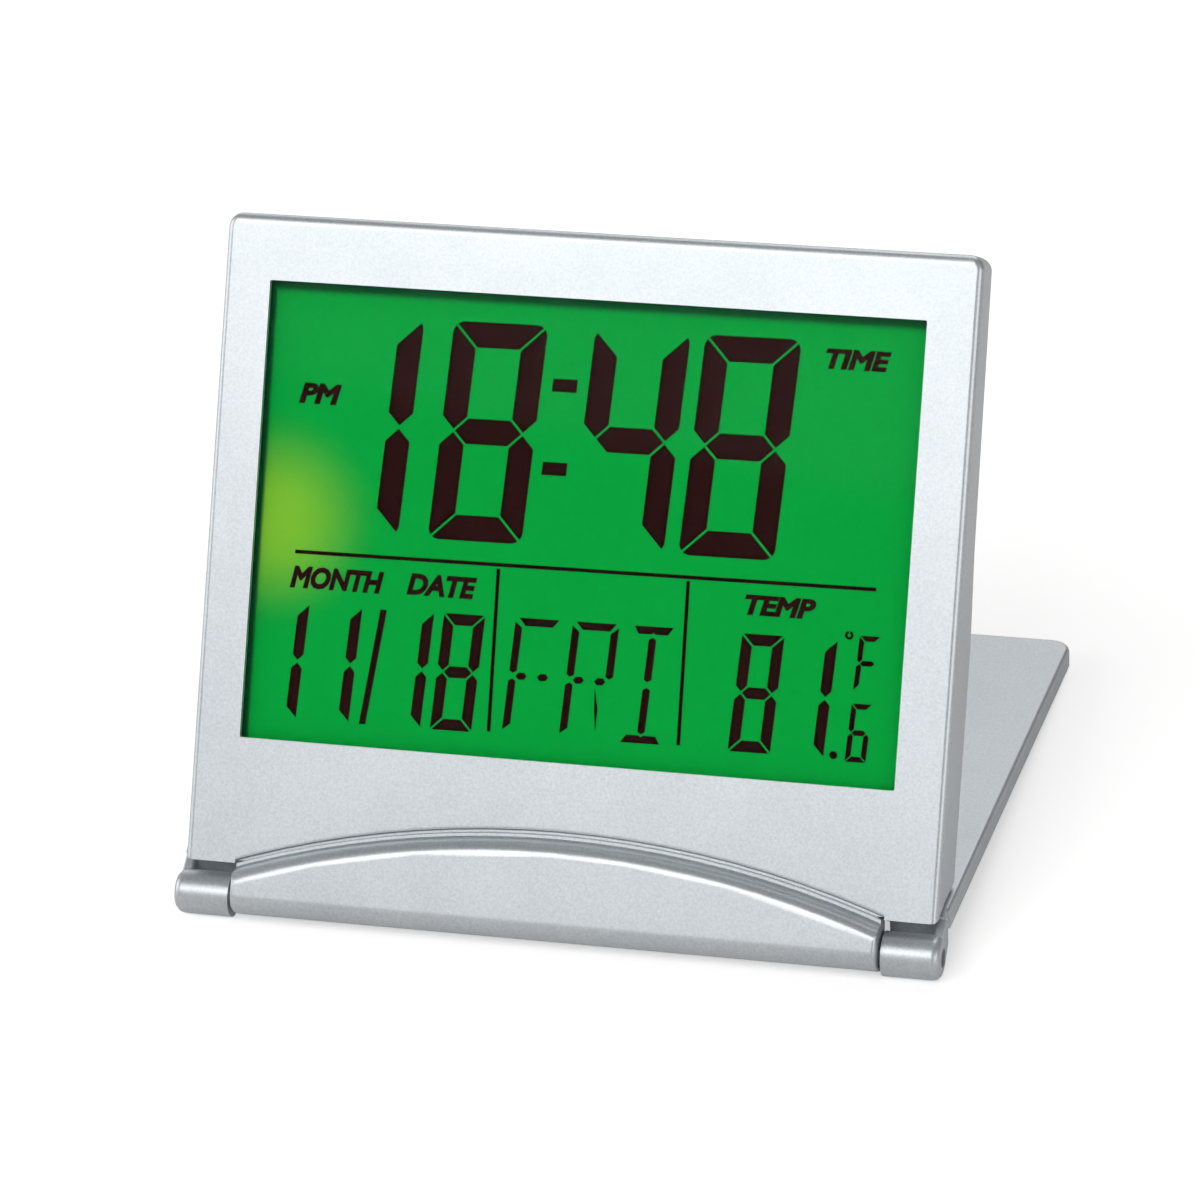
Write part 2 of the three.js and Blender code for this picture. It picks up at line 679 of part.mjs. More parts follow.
// A level bar between two heights, narrow at one and wide at the other
function taper([narrowLeft, narrowRight], [wideLeft, wideRight], [narrowY, wideY], notch = []) {
  return outlineOf([[narrowLeft, narrowY], ...notch, [narrowRight, narrowY], [wideRight, wideY],
    [wideLeft, wideY]]);
}

// What the F and the R share
function openLetter(x) {
  const middle = dayHeight / 2;
  const shift = (ends) => ends.map((end) => x + end);
  const { places, length, height } = dayDash;
  return [
    post(x, [middle + dayGap, dayHeight - dayStroke / 2], ['point', 'left']),
    post(x, [dayStroke / 2, middle - dayGap], ['left', 'point']),
    taper(shift(archedTop.narrow), shift(archedTop.wide), [dayHeight - dayStroke, dayHeight]),
    ...places.map((place) => outlineOf([
      [-0.5, 0], [-0.25, -0.5], [0.25, -0.5], [0.5, 0], [0.25, 0.5], [-0.25, 0.5],
    ].map(([a, b]) => [x + place + a * length, middle + b * height]))),
  ];
}

function letterR() {
  const middle = dayHeight / 2;
  const { foot, knee, head, width, low, high } = leg;
  return [
    ...openLetter(dayR),
    post(dayR + rightPost, [middle + dayGap, dayHeight - dayStroke / 2], ['point', 'right']),
    outlineOf([[head, high], [knee, leg.middle], [foot, low], [knee + width, leg.middle]]
      .map(([x, y]) => [dayR + x, y])),
  ];
}

function letterI() {
  const middle = dayHeight / 2;
  const left = dayI - dayStroke / 2;
  const { narrow, wide, gap, notch } = serif;
  const serifAt = (outer, inner) => taper([dayI - narrow, dayI + narrow], [dayI - wide, dayI + wide],
    [inner, outer], [[dayI - notch, inner], [dayI, (3 * inner + outer) / 4], [dayI + notch, inner]]);
  return [
    post(left, [middle + dayGap, dayHeight - gap], ['point', 'point']),
    post(left, [gap - dayStroke / 4, middle - dayGap], ['point', 'point']),
    serifAt(dayHeight, dayHeight - dayStroke), serifAt(0, dayStroke),
  ];
}

// The degree sign's middle hangs on a strut, so that the film stays in one piece
function degreeRing() {
  const { place: [x, y], outer, inner, strut } = degreeSign;
  const circle = (radius) => new THREE.Shape().absarc(x, y, radius, 0, 2 * Math.PI);
  const link = dash([x - strut / 2, y], strut, 2 * outer);
  return cut(inked(circle(outer), [0, 0], 0), inked(circle(inner), [0, 0], 0), inked(link, [0, 0], 0));
}

function lcdFilm() {
  const half = ruleWidth / 2;
  const slashOutline = outlineOf([[slash.foot, slash.low], [slash.foot + slash.width, slash.low],
    [slash.head + slash.width, slash.high], [slash.head, slash.high]]);
  const dot = new THREE.Shape().absarc(...point.place, point.radius, 0, 2 * Math.PI);
  const level = dash([rule.left, rule.height - half], rule.right - rule.left, ruleWidth);
  const dividerHeight = rule.height - ruleWidth - dividerLow;
  const upright = [slashOutline, dot, level,
    ...dividers.map((x) => dash([x - half, dividerLow], ruleWidth, dividerHeight))];
  const figures = [
    ...[...hours, ...minutes].map((entry) => figure(entry, bigFigure, timeBase)),
    ...[...month, ...dayOfMonth, ...temperature].map((entry) => figure(entry, smallFigure, lowerBase)),
    figure(tenths, tinyFigure, tenthsBase), figure(unit, unitLetter, unitBase),
    ...colon.levels.map((low) => inked(dash([0, 0], colon.width, colon.height),
      [colon.left + (low - timeBase) * Math.tan(figureLean * degree), low])),
    ...[...openLetter(dayF), ...letterR(), ...letterI()].map((shape) => inked(shape, [0, dayBase])),
    ...upright.map((shape) => inked(shape, [0, 0], 0)), degreeRing(),
  ];
  const film = block([-glassHalf, glassHalf], [windowLow - lensMargin, glassHigh],
    [filmFront - filmThickness, filmFront]);
  return cut(film, join(...figures));
}

// Circuit board and what is soldered to it
function circuitBoard() {
  const strip = cellPlace[1] + doorRadius + doorTab + boardStripGap;
  const outline = outlineOf([[tongueLeft, boardLow], [boardRight, boardLow], [boardRight, boardHigh],
    [-boardRight, boardHigh], [-boardRight, strip], [tongueLeft, strip]]);
  const holes = boardScrews.map((place) => pilotHole(place, [boardBack - outwards, boardFront + outwards]));
  return cut(plate(outline, [boardBack, boardFront]), ...holes);
}

const smallButtons = ['mode_button', 'set_button', 'up_button', 'down_button'].map((name, place) => (
  { name, place: [tongueMiddle + (place - 1.5) * smallButtonPitch, smallButtonY] }));

function dome(place) {
  return cone(place, [domeRadius / 2, domeRadius], [domeBack, domeFront], 24);
}

function lyingRod(radius, length, [x, y]) {
  return rod(radius, [x - length / 2, x + length / 2], [y, boardBack - seatGap / 2 - radius], 20);
}

function onBoard(height) {
  return [boardBack - seatGap / 2 - height, boardBack - seatGap / 2];
}

// Battery, contacts and door
function coinCell() {
  const shoulder = cellThickness / 8;
  return join(disc(cellPlace, cellRadius, [cellBack, cellFront - shoulder], 40),
    disc(cellPlace, cellRadius - 4 * shoulder, [cellFront - 2 * shoulder, cellFront], 40));
}

function contactFoot(x, y) {
  const back = boardBack - seatGap - contactThickness;
  return block([x, tongueLeft + 2 * contactThickness + contactWidth / 2], [y, y + contactWidth],
    [back, back + contactThickness]);
}

function negativeContact() {
  const y = cellPlace[1] - contactOffset - contactWidth / 2;
  const leafBack = cellFront + seatGap;
  const riser = tongueLeft - 3 * seatGap - contactThickness;
  const footBack = boardBack - seatGap - contactThickness;
  return join(
    block([cellPlace[0] - cellRadius / 2, riser + contactThickness], [y, y + contactWidth],
      [leafBack, leafBack + contactThickness]),
    block([riser, riser + contactThickness], [y, y + contactWidth], [footBack, leafBack + contactThickness]),
    contactFoot(riser, y),
  );
}

function positiveContact() {
  const y = cellPlace[1] + contactOffset - contactWidth / 2;
  const clip = cellPlace[0] + cellRadius + seatGap;
  const footBack = boardBack - seatGap - contactThickness;
  return join(
    block([clip, clip + contactThickness], [y, y + contactWidth],
      [footBack - 2 * contactThickness, cellFront]),
    contactFoot(clip, y),
  );
}

function doorTabs(grown, turn) {
  const reach = doorRadius + doorTab + grown;
  const half = doorTabWidth / 2 + grown;
  const bandGeometry = new THREE.BoxGeometry(2 * reach, 2 * half, 2 * outwards + backWall + doorThickness);
  bandGeometry.rotateZ(-turn * degree).translate(...cellPlace, coverPlateFront);
  const ring = disc(cellPlace, reach, [lowerBack - outwards, lowerBack + doorThickness + doorRingDepth], 48);
  return ring.intersect(toSolid(bandGeometry));
}

function batteryDoor() {
  const ringFront = lowerBack + doorThickness + doorRingDepth;
  const ringInner = cellRadius + 1.5 * seatGap;
  const cap = disc(cellPlace, doorRadius, [lowerBack, lowerBack + doorThickness], 48);
  const ring = disc(cellPlace, ringInner + doorRingWall, [lowerBack + doorThickness / 2, ringFront], 48);
  const behindPlate = disc(cellPlace, 2 * doorRadius, [coverPlateFront + seatGap, ringFront + outwards], 48);
  const well = disc(cellPlace, ringInner, [lowerBack + doorThickness, ringFront + outwards], 48);
  const slot = roundedBox(cellPlace, coinSlotLength, coinSlotWidth, coinSlotWidth / 2.01);
  const slotCut = plate(slot, [lowerBack - outwards, lowerBack + coinSlotDepth], 5);
  return cut(join(cap, ring, doorTabs(0, 0).intersect(behindPlate)), well, slotCut);
}

// Buttons, slide switch and back cover
function button(outline, grownOutline, stem) {
  const flangeBack = coverPlateFront + slideGap;
  const flangeFront = flangeBack + flangeThickness;
  const flangeMiddle = (flangeBack + flangeFront) / 2;
  return join(
    plate(outline, [lowerBack - buttonProud, flangeMiddle], 8),
    plate(grownOutline, [flangeBack, flangeFront], 8),
    disc(stem, domeRadius / 2, [flangeMiddle, stemFront], 16),
  );
}

function roundButton(place) {
  const circle = (radius) => new THREE.Shape().absarc(...place, radius, 0, 2 * Math.PI);
  return button(circle(smallButtonRadius), circle(smallButtonRadius + buttonFlange), place);
}

function lightButton(grown) {
  return roundedBox(lightButtonPlace, lightButtonLength + 2 * grown, lightButtonWidth + 2 * grown,
    lightButtonWidth / 2.01 + grown);
}

function switchSlider() {
  const [x, y] = [switchPlace[0] - switchTravel / 2, switchPlace[1]];
  const half = switchKnob / 2;
  const base = switchKnob;
  const baseBack = coverPlateFront + slideGap;
  return join(
    block([x - half, x + half], [y - half, y + half], [lowerBack - buttonProud, baseBack + contactThickness]),
    block([x - base, x + base], [y - half - contactThickness, y + half + contactThickness],
      [baseBack, baseBack + contactThickness]),
  );
}

function switchHousing() {
  const [x, y] = switchPlace;
  const [length, width] = switchBody;
  return block([x - length / 2, x + length / 2], [y - width / 2, y + width / 2], onBoard(switchBodyHeight));
}

function soundHoles() {
  const ring = [0, 1, 2, 3, 4, 5].map((step) => {
    const angle = step * 60 * degree;
    const [x, y] = buzzerPlace;
    return [x + soundHolePitch * Math.cos(angle), y + soundHolePitch * Math.sin(angle)];
  });
  return [buzzerPlace, ...ring];
}

function backCover() {
  const low = sideWall + seatGap;
  const top = cavityTop - seatGap;
  const skin = bar(outlineOf([
    [footAt(low, lowerBack), lowerBack], [rampFoot, lowerBack], [rampHead, backAt(rampHead)],
    [top, backAt(top)], [top, backAt(top) + backWall], [rampHead, backAt(rampHead) + backWall],
    [rampFoot, coverPlateFront], [footAt(low, coverPlateFront), coverPlateFront],
  ]), [seatGap - cavityHalf, cavityHalf - seatGap]);
  const through = [lowerBack - outwards, coverPlateFront + outwards];
  const slotHalf = (switchKnob + switchTravel) / 2 + slideGap;
  const knobHalf = switchKnob / 2 + slideGap;
  const [switchX, switchY] = switchPlace;
  const openings = [
    disc(cellPlace, doorRadius + slideGap, through, 48),
    doorTabs(slideGap, doorTurn),
    ...smallButtons.map(({ place }) => disc(place, smallButtonRadius + slideGap, through)),
    plate(lightButton(slideGap), through, 8),
    block([switchX - slotHalf, switchX + slotHalf], [switchY - knobHalf, switchY + knobHalf], through),
    ...soundHoles().map((place) => disc(place, soundHoleRadius, through, 12)),
  ];
  const screwHoles = caseScrewPlaces.flatMap((place) => {
    const back = backAt(place[1]);
    return [
      pilotHole(place, [back - outwards, back + backWall + outwards]),
      disc(place, screwHead + screwClearance, [back - outwards, back + headSeat + seatGap / 2], 20),
    ];
  });
  return cut(skin, ...openings, ...screwHoles);
}

// Cover with its two knuckles, drawn as if it lay level behind the hinge
function coverOutline() {
  const shape = new THREE.Shape();
  shape.moveTo(-halfCover, coverStart);
  shape.lineTo(halfCover, coverStart);
  shape.lineTo(halfCover, coverLength - coverCorner);
  shape.absarc(halfCover - coverCorner, coverLength - coverCorner, coverCorner, 0, Math.PI / 2);
  shape.lineTo(coverCorner - halfCover, coverLength);
  shape.absarc(coverCorner - halfCover, coverLength - coverCorner, coverCorner, Math.PI / 2, Math.PI);
  return shape;
}

function knuckle(side) {
  const circle = new THREE.Shape().absarc(0, 0, knuckleRadius, 0, 2 * Math.PI);
  const inner = knuckleInner - knuckleRounding;
  const span = side > 0 ? [inner, halfCover] : [-halfCover, -inner];
  const neckTop = coverOuter - coverEdge / 2;
  const neckEnd = coverStart + coverEdge + openGap;
  const onKnuckle = (angle) => [Math.cos(angle * degree), Math.sin(angle * degree)]
    .map((reach) => reach * knuckleRadius * 0.95);
  const neck = (...head) => outlineOf([
    ...head, [coverStart, neckTop], [neckEnd, neckTop], [neckEnd, coverInner],
    [coverStart - closedGap, coverInner], [coverStart - closedGap, neckHeel], onKnuckle(neckFoot), [0, 0],
  ]);
  const between = (x0, x1) => (side > 0 ? [x0, x1] : [-x1, -x0]);
  const [wall, floor] = neckGroove;
  const grooved = neck(onKnuckle(neckHead), [wall, floor], [wall, neckTop - coverEdge / 2]);
  const armEnd = halfCover - armInset;
  return join(
    bar(circle, span, knuckleRounding, 20),
    bar(grooved, between(knuckleInner, armEnd), neckEdge),
    bar(neck(onKnuckle(armHead)), between(armEnd - armWidth, armEnd), armEdge),
  );
}

function standCover() {
  const slab = pillow(coverOutline(), [coverInner - coverEdge, coverOuter], coverEdge);
  const tall = [coverInner - 2 * outwards, coverOuter + outwards];
  const wide = [-outwards, coverLength + outwards];
  const underside = block([-halfCover - outwards, halfCover + outwards], wide,
    [coverInner - 2 * outwards, coverInner]);
  const between = block([-knuckleInner, knuckleInner], [-2 * knuckleRadius, coverLength],
    [-2 * knuckleRadius, tall[1]]);
  const notch = archDisc(archRadius + closedGap, tall).intersect(between);
  const slackBetween = block([-knuckleInner, knuckleInner], [-2 * knuckleRadius, coverStart],
    [-2 * knuckleRadius, tall[1]]);
  const tableGeometry = new THREE.BoxGeometry(4 * halfCover, 4 * coverLength, 2 * knuckleRadius);
  tableGeometry.translate(0, 0, -knuckleRadius - hingeHeight).rotateX(coverTilt);
  const bore = pinRadius + pinClearance;
  const mouth = [halfCover - pinRecess, halfCover + outwards];
  const bores = [
    rod(bore, [-mouth[1], mouth[1]], [0, 0], 24), rod(bore + pinMouth, mouth, [0, 0], 24),
    rod(bore + pinMouth, mouth.map((x) => -x).reverse(), [0, 0], 24),
  ];
  const whole = join(cut(slab, underside), knuckle(-1), knuckle(1));
  return cut(whole, notch, slackBetween, ...bores, toSolid(tableGeometry));
}

function hingePin(side) {
  const outer = halfCover - pinRecess;
  const span = side > 0 ? [outer - pinLength, outer] : [-outer, pinLength - outer];
  return rod(pinRadius, span, [0, 0], 24);
}

// Assembly
const silver = 0xc9cdd0;
const blackPlastic = 0x1c1d1f;
const steel = 0xb9bcc0;

const displayStack = [
  named('display_window', displayWindow(), 0xe8f2ec, 0.05),
  named('lcd_film', lcdFilm(), 0x009e3d, 0.35),
  named('lcd_glass', lcdGlass(), 0x2a1a1a, 0.2),
  named('light_guide', lightGuide(), 0x3fae45, 0.3),
  named('backlight_led', backlightLed(), 0xf2f4d8, 0.3),
  named('display_carrier', displayCarrier(), 0xdfe0dc, 0.6),
];
displayStack.forEach((piece) => piece.geometry.translate(displayShift, 0, 0));

const displayCase = new THREE.Group();
displayCase.add(
  named('front_shell', frontShell(), silver, 0.45, 0.5),
  named('back_cover', backCover(), silver, 0.5, 0.4),
  named('hinge_barrel', hingeBarrel(), silver, 0.45, 0.5),
  ...displayStack,
  named('contact_strip', contactStrip(), 0x5c6068, 0.8),
  named('circuit_board', circuitBoard(), 0x1f5a34, 0.5),
  named('driver_chip', cone(chipPlace, [chipRadius / 2, chipRadius], onBoard(chipHeight), 24),
    0x101012, 0.35),
  named('quartz_crystal', lyingRod(crystalRadius, crystalLength, crystalPlace), 0xc4c6c9, 0.3, 1),
  named('alarm_buzzer', disc(buzzerPlace, buzzerRadius, onBoard(buzzerHeight)), blackPlastic, 0.5),
  named('temperature_sensor', lyingRod(sensorRadius, sensorLength, sensorPlace), 0x26282c, 0.5),
  named('coin_cell', coinCell(), steel, 0.3, 1),
  named('battery_contact_positive', positiveContact(), steel, 0.35, 1),
  named('battery_contact_negative', negativeContact(), steel, 0.35, 1),
  named('battery_door', batteryDoor(), silver, 0.5, 0.4),
  named('light_button', button(lightButton(0), lightButton(buttonFlange), lightButtonPlace), 0x8d9398, 0.5),
  named('light_dome', dome(lightButtonPlace), steel, 0.3, 1),
  named('alarm_switch', switchSlider(), blackPlastic, 0.5),
  named('alarm_switch_housing', switchHousing(), blackPlastic, 0.5),
);
const screws = [
  ...caseScrewPlaces.map((place) => ['case_screw', place, backAt(place[1]) + headSeat, screwLength]),
  ...boardScrews.map((place) => ['board_screw', place, boardBack - seatGap / 2, screwLength]),
  ...barrelScrewPlaces.map((place) => ['barrel_screw', place, innerFront - seatGap / 2, barrelScrewLength]),
];
screws.forEach(([kind, place, seat, length], count) => {
  displayCase.add(named(`${kind}_${count + 1}`, screw(place, seat, length), steel, 0.35, 1));
});
for (const { name, place } of smallButtons) {
  displayCase.add(
    named(name, roundButton(place), 0x8d9398, 0.5),
    named(name.replace('button', 'dome'), dome(place), steel, 0.3, 1),
  );
}
displayCase.position.z = hingeHeight;
displayCase.rotation.x = (90 - caseLean) * degree;

const stand = new THREE.Group();
stand.add(
  named('stand_cover', standCover(), silver, 0.45, 0.5),
  named('hinge_pin_left', hingePin(-1), steel, 0.3, 1),
  named('hinge_pin_right', hingePin(1), steel, 0.3, 1),
);
stand.position.set(displayShift, 0, hingeHeight);
stand.rotation.x = -coverTilt;

// The clock stands on Z = 0 with its footprint centred on the origin
const clock = new THREE.Group();
clock.add(displayCase, stand);
clock.updateMatrixWorld(true);
const footprint = new THREE.Box3().setFromObject(clock, true);
displayCase.position.y = stand.position.y = -(footprint.min.y + footprint.max.y) / 2;

export default clock;
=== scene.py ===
import json
import math

import bmesh
import bpy
from mathutils import Matrix, Vector

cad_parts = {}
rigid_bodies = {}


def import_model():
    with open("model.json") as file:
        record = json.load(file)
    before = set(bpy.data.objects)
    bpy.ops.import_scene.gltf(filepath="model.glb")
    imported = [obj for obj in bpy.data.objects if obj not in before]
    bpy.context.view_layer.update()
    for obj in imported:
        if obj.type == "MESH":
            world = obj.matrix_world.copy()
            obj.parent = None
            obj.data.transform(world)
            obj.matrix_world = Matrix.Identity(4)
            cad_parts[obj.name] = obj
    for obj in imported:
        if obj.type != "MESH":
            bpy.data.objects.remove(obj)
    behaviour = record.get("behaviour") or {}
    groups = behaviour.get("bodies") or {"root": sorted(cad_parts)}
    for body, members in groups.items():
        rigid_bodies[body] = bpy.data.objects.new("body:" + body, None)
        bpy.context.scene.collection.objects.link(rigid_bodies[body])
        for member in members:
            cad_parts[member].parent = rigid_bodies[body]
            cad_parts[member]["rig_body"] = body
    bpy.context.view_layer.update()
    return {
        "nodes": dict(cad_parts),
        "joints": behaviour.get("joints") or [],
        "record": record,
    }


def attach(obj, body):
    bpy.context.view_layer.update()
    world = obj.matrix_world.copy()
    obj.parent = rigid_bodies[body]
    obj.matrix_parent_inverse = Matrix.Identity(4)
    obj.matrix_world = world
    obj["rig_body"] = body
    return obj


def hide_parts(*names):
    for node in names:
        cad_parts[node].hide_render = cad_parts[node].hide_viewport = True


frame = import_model()

mm = 0.001
nodes = frame["nodes"]
joints = {joint["name"]: joint for joint in frame["joints"]}
slotOf = {part["node"]: part["material_slot"] for part in frame["record"]["subparts"]}

# The case's own frame: X along the hinge, Y up its front, Z straight out of the front
hinge = Vector(joints["cover_hinge"]["pos_m"])
outOfFront = Vector(joints["door_twist"]["axis"]).normalized()
upTheFront = outOfFront.cross(Vector((1, 0, 0)))
caseFrame = Matrix.Translation(hinge) @ Matrix(((1, 0, 0), upTheFront, outOfFront)).transposed().to_4x4()
intoCase = caseFrame.inverted()


def caseBox(name):
    corners = [intoCase @ vertex.co for vertex in nodes[name].data.vertices]
    return [Vector([pick(corner[i] for corner in corners) for i in range(3)]) for pick in (min, max)]


lensLow, lensHigh = caseBox("display_window")
filmTop = caseBox("lcd_film")[1].z
lensMiddle = (lensLow.x + lensHigh.x) / 2
lensMargin = 1.2 * mm  # how far the window reaches behind the opening's edge


def linear(hexColour):
    channels = [int(hexColour[i:i + 2], 16) / 255 for i in (1, 3, 5)]
    return (*[c / 12.92 if c <= 0.04045 else ((c + 0.055) / 1.055) ** 2.4 for c in channels], 1.0)


def addNode(tree, kind, settings=None, links=None):
    node = tree.nodes.new(kind)
    for name, value in (settings or {}).items():
        if isinstance(name, int) or name in node.inputs:
            node.inputs[name].default_value = value
        else:
            setattr(node, name, value)
    for name, source in (links or {}).items():
        tree.links.new(source, node.inputs[name])
    return node


def newMaterial(name):
    material = bpy.data.materials.new(name)
    material.use_nodes = True
    material.node_tree.nodes.clear()
    return material, material.node_tree


def finishMaterial(tree, shader):
    addNode(tree, "ShaderNodeOutputMaterial", None, {"Surface": shader.outputs[0]})


# Two coats of silver, with flakes and clouds in millimetres. The cover's is a touch darker.
silver = {
    "case": {
        "pale": "#D3D8DB", "deep": "#C0C6CA", "flake": 0.28, "cloud": 9, "metallic": 0.65, "roughness": 0.36},
    "cover": {
        "pale": "#CFD4D7", "deep": "#BCC2C6", "flake": 0.28, "cloud": 12, "metallic": 0.62, "roughness": 0.38},
}
# How a coat varies: flakes and clouds, spread of tone and gloss, and the flakes' height in millimetres
coat = {
    "flakeLow": 0.3, "flakeHigh": 0.7, "cloudLow": 0.35, "cloudHigh": 0.65, "drift": 0.12,
    "smoother": 0.05, "rougher": 0.07, "relief": 0.12, "height": 0.02,
}


# ABS sprayed with a silver lacquer: a cool pale grey, satin, with flakes that sparkle faintly
def silverLacquer(name, look):
    material, tree = newMaterial(name)
    place = addNode(tree, "ShaderNodeTexCoord")
    flakes = addNode(tree, "ShaderNodeTexNoise", {
        "Scale": 1 / (look["flake"] * mm), "Detail": 2, "Roughness": 0.65}, {"Vector": place.outputs["Object"]})
    clouds = addNode(tree, "ShaderNodeTexNoise", {
        "Scale": 1 / (look["cloud"] * mm), "Detail": 3, "Roughness": 0.5}, {"Vector": place.outputs["Object"]})
    speckle = addNode(tree, "ShaderNodeMapRange", {
        "From Min": coat["flakeLow"], "From Max": coat["flakeHigh"]}, {"Value": flakes.outputs["Fac"]})
    drift = addNode(tree, "ShaderNodeMapRange", {
        "From Min": coat["cloudLow"], "From Max": coat["cloudHigh"],
        "To Min": -coat["drift"], "To Max": coat["drift"]}, {"Value": clouds.outputs["Fac"]})
    blend = addNode(tree, "ShaderNodeMath", {"operation": "ADD", "use_clamp": True},
                    {0: speckle.outputs[0], 1: drift.outputs[0]})
    colour = addNode(tree, "ShaderNodeMixRGB", {"Color1": linear(look["deep"]), "Color2": linear(look["pale"])},
                     {"Fac": blend.outputs[0]})
    gloss = addNode(tree, "ShaderNodeMapRange", {
        "To Min": look["roughness"] - coat["smoother"], "To Max": look["roughness"] + coat["rougher"]},
        {"Value": flakes.outputs["Fac"]})
    bump = addNode(tree, "ShaderNodeBump", {"Strength": coat["relief"], "Distance": coat["height"] * mm},
                   {"Height": flakes.outputs["Fac"]})
    shader = addNode(tree, "ShaderNodeBsdfPrincipled", {"Metallic": look["metallic"]},
                     {"Base Color": colour.outputs[0], "Roughness": gloss.outputs[0], "Normal": bump.outputs[0]})
    finishMaterial(tree, shader)
    return material


# Lengths in millimetres. The glow's place is from the window's middle and up from the hinge.
display = {
    # shade: the colour of the painted shade under the window's edges; glow: the colour of the painted glow by the
    # backlight's lamp
    "green": "#00822F", "glow": "#679B28", "shade": "#06401F", "figure": "#230C0C", "backlight": 0.15,
    "roughness": 0.5, "shine": 0.02, "glowPlace": (-34.96, 41.83), "glowReach": 13,
    # Widths of the painted shade along the window's top and left edges
    "topPaintedShade": 1.5, "topDarkest": 0.3, "sidePaintedShade": 0.7, "sideDarkest": 0.2,  # darkest: a share of the shade
    "wallBelow": 0.5,  # cosine to the front under which a side is an opening's wall
}


# Polariser film over a green backlight: even and saturated, with a painted glow by the backlight's lamp and
# painted shade under the window's top and left edges
def greenFilm(name, look):
    material, tree = newMaterial(name)
    place = addNode(tree, "ShaderNodeTexCoord")
    local = addNode(tree, "ShaderNodeMapping", {"Location": intoCase.translation, "Rotation": intoCase.to_euler()},
                    {"Vector": place.outputs["Object"]})
    axes = addNode(tree, "ShaderNodeSeparateXYZ", None, {"Vector": local.outputs[0]})
    flat = addNode(tree, "ShaderNodeCombineXYZ", None, {"X": axes.outputs["X"], "Y": axes.outputs["Y"]})
    # Painted glow: the film's colour turns paler and yellower towards the backlight's lamp
    lamp = (lensMiddle + look["glowPlace"][0] * mm, look["glowPlace"][1] * mm, 0)
    away = addNode(tree, "ShaderNodeVectorMath", {"operation": "DISTANCE", 1: lamp}, {0: flat.outputs[0]})
    glow = addNode(tree, "ShaderNodeMapRange", {
        "interpolation_type": "SMOOTHERSTEP", "From Min": look["glowReach"] * mm, "From Max": 0},
        {"Value": away.outputs["Value"]})
    lit = addNode(tree, "ShaderNodeMixRGB", {"Color1": linear(look["green"]), "Color2": linear(look["glow"])},
                  {"Fac": glow.outputs[0]})
    # Painted shade: the film is darkened along the window's top and left edges, where those edges cast their
    # shadow
    top = lensHigh.y - lensMargin
    left = lensLow.x + lensMargin
    topWidth, sideWidth = look["topPaintedShade"] * mm, look["sidePaintedShade"] * mm
    topPaintedShade = addNode(tree, "ShaderNodeMapRange", {
        "interpolation_type": "SMOOTHSTEP",
        "From Min": top - topWidth, "From Max": top - look["topDarkest"] * topWidth},
        {"Value": axes.outputs["Y"]})
    sidePaintedShade = addNode(tree, "ShaderNodeMapRange", {
        "interpolation_type": "SMOOTHSTEP",
        "From Min": left + sideWidth, "From Max": left + look["sideDarkest"] * sideWidth},
        {"Value": axes.outputs["X"]})
    dark = addNode(tree, "ShaderNodeMath", {"operation": "MAXIMUM"},
                   {0: topPaintedShade.outputs[0], 1: sidePaintedShade.outputs[0]})
    shaded = addNode(tree, "ShaderNodeMixRGB", {"Color2": linear(look["shade"])},
                     {"Fac": dark.outputs[0], "Color1": lit.outputs[0]})
    surface = addNode(tree, "ShaderNodeNewGeometry")  # only the face is green, the openings' walls are dark
    facing = addNode(tree, "ShaderNodeVectorTransform", {
        "vector_type": "NORMAL", "convert_from": "WORLD", "convert_to": "OBJECT"},
        {0: surface.outputs["True Normal"]})
    outwards = addNode(tree, "ShaderNodeVectorMath", {"operation": "DOT_PRODUCT", 1: outOfFront},
                       {0: facing.outputs[0]})
    face = addNode(tree, "ShaderNodeMath", {"operation": "GREATER_THAN", 1: look["wallBelow"]},
                   {0: outwards.outputs["Value"]})
    colour = addNode(tree, "ShaderNodeMixRGB", {"Color1": linear(look["figure"])},
                     {"Fac": face.outputs[0], "Color2": shaded.outputs[0]})
    shader = addNode(tree, "ShaderNodeBsdfPrincipled", {
        "Roughness": look["roughness"], "Specular IOR Level": look["shine"],
        "Emission Strength": look["backlight"]},
        {"Base Color": colour.outputs[0], "Emission Color": colour.outputs[0]})
    finishMaterial(tree, shader)
    return material


acrylic = {"colour": "#FAFEFC", "roughness": 0.03, "index": 1.05}


# Acrylic window: clear and polished. Its index is far below acrylic's 1.49, as no glare shows on it.
def clearAcrylic(name, look):
    material, tree = newMaterial(name)
    shader = addNode(tree, "ShaderNodeBsdfPrincipled", {
        "Base Color": linear(look["colour"]), "Roughness": look["roughness"], "IOR": look["index"],
        "Transmission Weight": 1.0})
    finishMaterial(tree, shader)
    return material


# Plain finishes, with their grain in millimetres
plain = {
    "darkFigures": {"colour": "#230C0C", "roughness": 0.7, "shine": 0.02, "grain": 0.2},  # brownish black, flat
    "milkyAcrylic": {"colour": "#CFE6B0", "roughness": 0.3, "grain": 0.5},  # cloudy, lit pale green
    "paleAbs": {"colour": "#DEDFDB", "roughness": 0.55, "grain": 0.25},  # off-white, matt moulding
    "contactRubber": {"colour": "#5A6068", "roughness": 0.8, "shine": 0.3, "grain": 0.1},  # dull slate grey
    "boardLacquer": {"colour": "#1F5A34", "roughness": 0.4, "grain": 0.4},  # deep green over glass cloth
    "blackMoulding": {"colour": "#1B1C1E", "roughness": 0.5, "grain": 0.25},  # near black, satin
    "greyAbs": {"colour": "#868C91", "roughness": 0.45, "grain": 0.2},  # mid grey, a little darker than the case
    "brightSteel": {"colour": "#C6C8CB", "roughness": 0.25, "metallic": 1, "grain": 0.15},  # rolled, bright
}
plainCommon = {
    "metallic": 0, "shine": 0.5, "darkest": 0.9, "palest": 1.08, "smoother": 0.05, "rougher": 0.08,
    "relief": 0.1, "height": 0.02,
}


